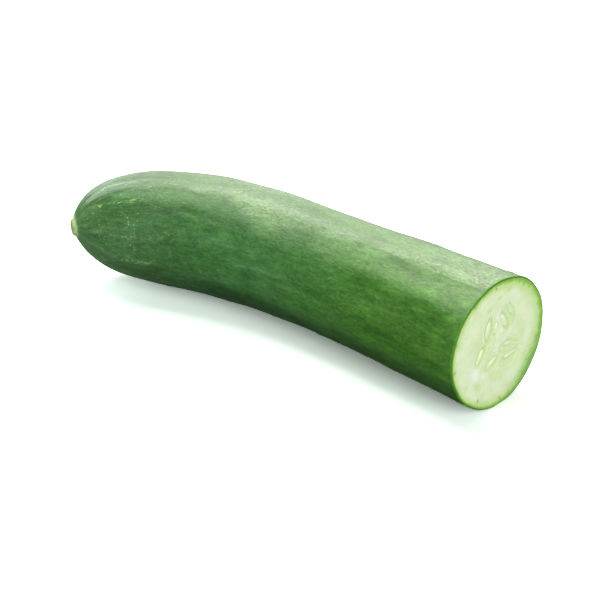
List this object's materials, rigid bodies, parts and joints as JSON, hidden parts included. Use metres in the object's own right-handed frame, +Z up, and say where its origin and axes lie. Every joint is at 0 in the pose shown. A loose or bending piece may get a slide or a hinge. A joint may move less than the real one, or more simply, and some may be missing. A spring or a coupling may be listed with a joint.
{
  "type": "cucumber",
  "caption": "Long cut length of a fresh cucumber, whole at the blossom end and cut square at the other to show pale flesh and seeds; food display or sorting prop.",
  "frame": {"origin": "on the surface it lies on, under the middle of the bounding box", "axes": "+X runs from the blossom end to the cut end, +Z is up, and the body bulges towards +Y"},
  "size_m": [0.1898, 0.0712, 0.0485],
  "materials": {
    "skin": "dark green waxy skin with a soft gloss, paler streaks from the blossom end and fine dimples",
    "flesh": "moist pale green flesh, greener under the skin and yellow-green in the seed chambers",
    "seed": "pale cream, moist",
    "scar": "dry, brownish green"
  },
  "bodies": {
    "root": {"cucumber": "skin"}
  },
  "joints": []
}
